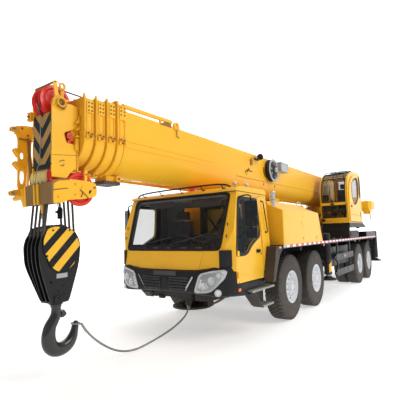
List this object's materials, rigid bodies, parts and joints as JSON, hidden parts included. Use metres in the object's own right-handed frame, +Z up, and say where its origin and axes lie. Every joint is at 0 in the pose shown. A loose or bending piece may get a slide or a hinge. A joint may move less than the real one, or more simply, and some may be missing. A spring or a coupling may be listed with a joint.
{
  "type": "mobile crane",
  "caption": "Four-axle truck crane with telescopic boom, slewing cab, outriggers, stowed lattice jib and a hook tied down at the nose.",
  "frame": {"origin": "centre of the machine's box on the ground", "axes": "+X the vehicle's left, +Y to its rear, +Z up"},
  "size_m": [3.02, 13.845, 3.54],
  "materials": {
    "yellow_paint": "gloss",
    "black_paint": "satin",
    "lamp_glass": "clear",
    "tinted_glass": "tinted",
    "dark_trim": "matte",
    "cast_grey": "rough",
    "sling_fibre": "woven",
    "red_nylon": "gloss",
    "chromed_rod": "polished",
    "deck_plate": "satin",
    "step_metal": "satin",
    "tyre_rubber": "matte"
  },
  "bodies": {
    "carrier": {"chassis_frame": "black_paint", "deck": "deck_plate", "front_bumper": "black_paint", "headlights": "lamp_glass", "cab_shell": "yellow_paint", "cab_roof": "yellow_paint", "cab_glass": "tinted_glass", "cab_seats_and_dash": "dark_trim", "steps_and_mudguards": "step_metal", "engine_hood": "yellow_paint", "engine": "cast_grey", "axle_beams": "black_paint", "fuel_tank_and_boxes": "black_paint", "tie_line": "sling_fibre"},
    "cab_door_left": {"door_left": "yellow_paint"},
    "cab_door_right": {"door_right": "yellow_paint"},
    "centre_jack": {"centre_jack": "black_paint"},
    "superstructure": {"turntable": "yellow_paint", "counterweight": "yellow_paint", "operator_cab": "yellow_paint", "operator_cab_glass": "tinted_glass"},
    "operator_door": {"operator_cab_door": "yellow_paint"},
    "winch": {"winch_drum": "cast_grey"},
    "luff_barrel": {"luffing_cylinder_barrel": "yellow_paint"},
    "luff_rod": {"luffing_cylinder_rod": "chromed_rod"},
    "boom_base": {"boom_base": "yellow_paint", "lattice_jib": "yellow_paint"},
    "boom_2": {"boom_section_2": "yellow_paint"},
    "boom_3": {"boom_section_3": "yellow_paint"},
    "boom_4": {"boom_section_4": "yellow_paint"},
    "boom_5": {"boom_section_5": "yellow_paint", "boom_head": "yellow_paint", "head_sheaves": "red_nylon"},
    "rope_hanger": {"rope_socket": "cast_grey"},
    "hook": {"hook_block": "black_paint"},
    "wheel_1_left": {"wheel_1_left": "tyre_rubber"},
    "knuckle_1_left": {"knuckle_1_left": "black_paint"},
    "wheel_1_right": {"wheel_1_right": "tyre_rubber"},
    "knuckle_1_right": {"knuckle_1_right": "black_paint"},
    "wheel_2_left": {"wheel_2_left": "tyre_rubber"},
    "knuckle_2_left": {"knuckle_2_left": "black_paint"},
    "wheel_2_right": {"wheel_2_right": "tyre_rubber"},
    "knuckle_2_right": {"knuckle_2_right": "black_paint"},
    "wheel_3_left": {"wheel_3_left": "tyre_rubber"},
    "wheel_3_right": {"wheel_3_right": "tyre_rubber"},
    "wheel_4_left": {"wheel_4_left": "tyre_rubber"},
    "wheel_4_right": {"wheel_4_right": "tyre_rubber"},
    "outer_beam_front_left": {"outrigger_outer_beam_front_left": "black_paint"},
    "inner_beam_front_left": {"outrigger_inner_beam_front_left": "black_paint"},
    "jack_front_left": {"outrigger_jack_front_left": "black_paint"},
    "outer_beam_front_right": {"outrigger_outer_beam_front_right": "black_paint"},
    "inner_beam_front_right": {"outrigger_inner_beam_front_right": "black_paint"},
    "jack_front_right": {"outrigger_jack_front_right": "black_paint"},
    "outer_beam_rear_left": {"outrigger_outer_beam_rear_left": "black_paint"},
    "inner_beam_rear_left": {"outrigger_inner_beam_rear_left": "black_paint"},
    "jack_rear_left": {"outrigger_jack_rear_left": "black_paint"},
    "outer_beam_rear_right": {"outrigger_outer_beam_rear_right": "black_paint"},
    "inner_beam_rear_right": {"outrigger_inner_beam_rear_right": "black_paint"},
    "jack_rear_right": {"outrigger_jack_rear_right": "black_paint"}
  },
  "joints": [
    {"name": "steer_1_left", "type": "hinge", "parent": "carrier", "child": "knuckle_1_left", "pos_m": [0.93, -2.427, 0.613], "axis": [0, 0, 1], "range_deg": [-32, 32]},
    {"name": "roll_1_left", "type": "hinge", "parent": "knuckle_1_left", "child": "wheel_1_left", "pos_m": [1.152, -2.427, 0.613], "axis": [1, 0, 0], "continuous": true},
    {"name": "steer_1_right", "type": "hinge", "parent": "carrier", "child": "knuckle_1_right", "pos_m": [-0.93, -2.427, 0.613], "axis": [0, 0, 1], "range_deg": [-32, 32]},
    {"name": "roll_1_right", "type": "hinge", "parent": "knuckle_1_right", "child": "wheel_1_right", "pos_m": [-1.152, -2.427, 0.613], "axis": [1, 0, 0], "continuous": true},
    {"name": "steer_2_left", "type": "hinge", "parent": "carrier", "child": "knuckle_2_left", "pos_m": [0.93, -0.957, 0.613], "axis": [0, 0, 1], "range_deg": [-24.5, 24.5]},
    {"name": "roll_2_left", "type": "hinge", "parent": "knuckle_2_left", "child": "wheel_2_left", "pos_m": [1.152, -0.957, 0.613], "axis": [1, 0, 0], "continuous": true},
    {"name": "steer_2_right", "type": "hinge", "parent": "carrier", "child": "knuckle_2_right", "pos_m": [-0.93, -0.957, 0.613], "axis": [0, 0, 1], "range_deg": [-24.5, 24.5]},
    {"name": "roll_2_right", "type": "hinge", "parent": "knuckle_2_right", "child": "wheel_2_right", "pos_m": [-1.152, -0.957, 0.613], "axis": [1, 0, 0], "continuous": true},
    {"name": "roll_3_left", "type": "hinge", "parent": "carrier", "child": "wheel_3_left", "pos_m": [1.037, 3.148, 0.613], "axis": [1, 0, 0], "continuous": true},
    {"name": "roll_3_right", "type": "hinge", "parent": "carrier", "child": "wheel_3_right", "pos_m": [-1.037, 3.148, 0.613], "axis": [1, 0, 0], "continuous": true},
    {"name": "roll_4_left", "type": "hinge", "parent": "carrier", "child": "wheel_4_left", "pos_m": [1.037, 4.498, 0.613], "axis": [1, 0, 0], "continuous": true},
    {"name": "roll_4_right", "type": "hinge", "parent": "carrier", "child": "wheel_4_right", "pos_m": [-1.037, 4.498, 0.613], "axis": [1, 0, 0], "continuous": true},
    {"name": "cab_door_left_hinge", "type": "hinge", "parent": "carrier", "child": "cab_door_left", "pos_m": [1.22, -4.332, 1.2], "axis": [0, 0, -1], "range_deg": [0, 70]},
    {"name": "cab_door_right_hinge", "type": "hinge", "parent": "carrier", "child": "cab_door_right", "pos_m": [-1.22, -4.332, 1.2], "axis": [0, 0, 1], "range_deg": [0, 70]},
    {"name": "centre_jack_extend", "type": "slide", "parent": "carrier", "child": "centre_jack", "axis": [0, 0, -1], "range_m": [0, 0.36]},
    {"name": "outrigger_front_left_stage_1", "type": "slide", "parent": "carrier", "child": "outer_beam_front_left", "axis": [1, 0, 0], "range_m": [0, 1.25]},
    {"name": "outrigger_front_left_stage_2", "type": "slide", "parent": "outer_beam_front_left", "child": "inner_beam_front_left", "axis": [1, 0, 0], "range_m": [0, 1.25]},
    {"name": "jack_front_left_extend", "type": "slide", "parent": "inner_beam_front_left", "child": "jack_front_left", "axis": [0, 0, -1], "range_m": [0, 0.6]},
    {"name": "outrigger_front_right_stage_1", "type": "slide", "parent": "carrier", "child": "outer_beam_front_right", "axis": [-1, 0, 0], "range_m": [0, 1.25]},
    {"name": "outrigger_front_right_stage_2", "type": "slide", "parent": "outer_beam_front_right", "child": "inner_beam_front_right", "axis": [-1, 0, 0], "range_m": [0, 1.25]},
    {"name": "jack_front_right_extend", "type": "slide", "parent": "inner_beam_front_right", "child": "jack_front_right", "axis": [0, 0, -1], "range_m": [0, 0.6]},
    {"name": "outrigger_rear_left_stage_1", "type": "slide", "parent": "carrier", "child": "outer_beam_rear_left", "axis": [1, 0, 0], "range_m": [0, 1.25]},
    {"name": "outrigger_rear_left_stage_2", "type": "slide", "parent": "outer_beam_rear_left", "child": "inner_beam_rear_left", "axis": [1, 0, 0], "range_m": [0, 1.25]},
    {"name": "jack_rear_left_extend", "type": "slide", "parent": "inner_beam_rear_left", "child": "jack_rear_left", "axis": [0, 0, -1], "range_m": [0, 0.6]},
    {"name": "outrigger_rear_right_stage_1", "type": "slide", "parent": "carrier", "child": "outer_beam_rear_right", "axis": [-1, 0, 0], "range_m": [0, 1.25]},
    {"name": "outrigger_rear_right_stage_2", "type": "slide", "parent": "outer_beam_rear_right", "child": "inner_beam_rear_right", "axis": [-1, 0, 0], "range_m": [0, 1.25]},
    {"name": "jack_rear_right_extend", "type": "slide", "parent": "inner_beam_rear_right", "child": "jack_rear_right", "axis": [0, 0, -1], "range_m": [0, 0.6]},
    {"name": "slew", "type": "hinge", "parent": "carrier", "child": "superstructure", "pos_m": [0, 2.773, 1.4], "axis": [0, 0, 1], "continuous": true},
    {"name": "operator_door_slide", "type": "slide", "parent": "superstructure", "child": "operator_door", "axis": [0, 1, 0], "range_m": [0, 0.85]},
    {"name": "winch_turn", "type": "hinge", "parent": "superstructure", "child": "winch", "pos_m": [0, 5.583, 2.02], "axis": [1, 0, 0], "continuous": true},
    {"name": "luff", "type": "hinge", "parent": "superstructure", "child": "boom_base", "pos_m": [0, 4.873, 2.8], "axis": [-1, 0, 0], "range_deg": [0, 80]},
    {"name": "luff_barrel_pivot", "type": "hinge", "parent": "superstructure", "child": "luff_barrel", "pos_m": [0, 2.973, 1.85], "axis": [-1, 0, 0], "range_deg": [0, 87.2]},
    {"name": "luff_rod_slide", "type": "slide", "parent": "luff_barrel", "child": "luff_rod", "axis": [0, -0.9887, 0.1498], "range_m": [0, 2.691]},
    {"name": "telescope_2", "type": "slide", "parent": "boom_base", "child": "boom_2", "axis": [0, -1, 0], "range_m": [0, 8.1]},
    {"name": "telescope_3", "type": "slide", "parent": "boom_2", "child": "boom_3", "axis": [0, -1, 0], "range_m": [0, 8.1]},
    {"name": "telescope_4", "type": "slide", "parent": "boom_3", "child": "boom_4", "axis": [0, -1, 0], "range_m": [0, 8.1]},
    {"name": "telescope_5", "type": "slide", "parent": "boom_4", "child": "boom_5", "axis": [0, -1, 0], "range_m": [0, 8.1]},
    {"name": "rope_swing", "type": "hinge", "parent": "boom_5", "child": "rope_hanger", "pos_m": [0, -6.647, 2.12], "axis": [-1, 0, 0], "range_deg": [-80, 0]},
    {"name": "hoist", "type": "slide", "parent": "rope_hanger", "child": "hook", "axis": [0, 0, -1], "range_m": [-0.1, 0.24]}
  ],
  "couplings": [
    {"joint": "steer_1_right", "follows": "steer_1_left", "ratio": 1},
    {"joint": "steer_2_left", "follows": "steer_1_left", "ratio": 0.765},
    {"joint": "steer_2_right", "follows": "steer_1_left", "ratio": 0.765},
    {"joint": "outrigger_front_left_stage_2", "follows": "outrigger_front_left_stage_1", "ratio": 1},
    {"joint": "outrigger_front_right_stage_2", "follows": "outrigger_front_right_stage_1", "ratio": 1},
    {"joint": "outrigger_rear_left_stage_2", "follows": "outrigger_rear_left_stage_1", "ratio": 1},
    {"joint": "outrigger_rear_right_stage_2", "follows": "outrigger_rear_right_stage_1", "ratio": 1},
    {"joint": "luff_barrel_pivot", "follows": "luff", "ratio": 1.0833},
    {"joint": "luff_rod_slide", "follows": "luff", "m_per_rad": 1.9199},
    {"joint": "telescope_4", "follows": "telescope_3", "ratio": 1},
    {"joint": "telescope_5", "follows": "telescope_3", "ratio": 1},
    {"joint": "rope_swing", "follows": "luff", "ratio": -1}
  ]
}
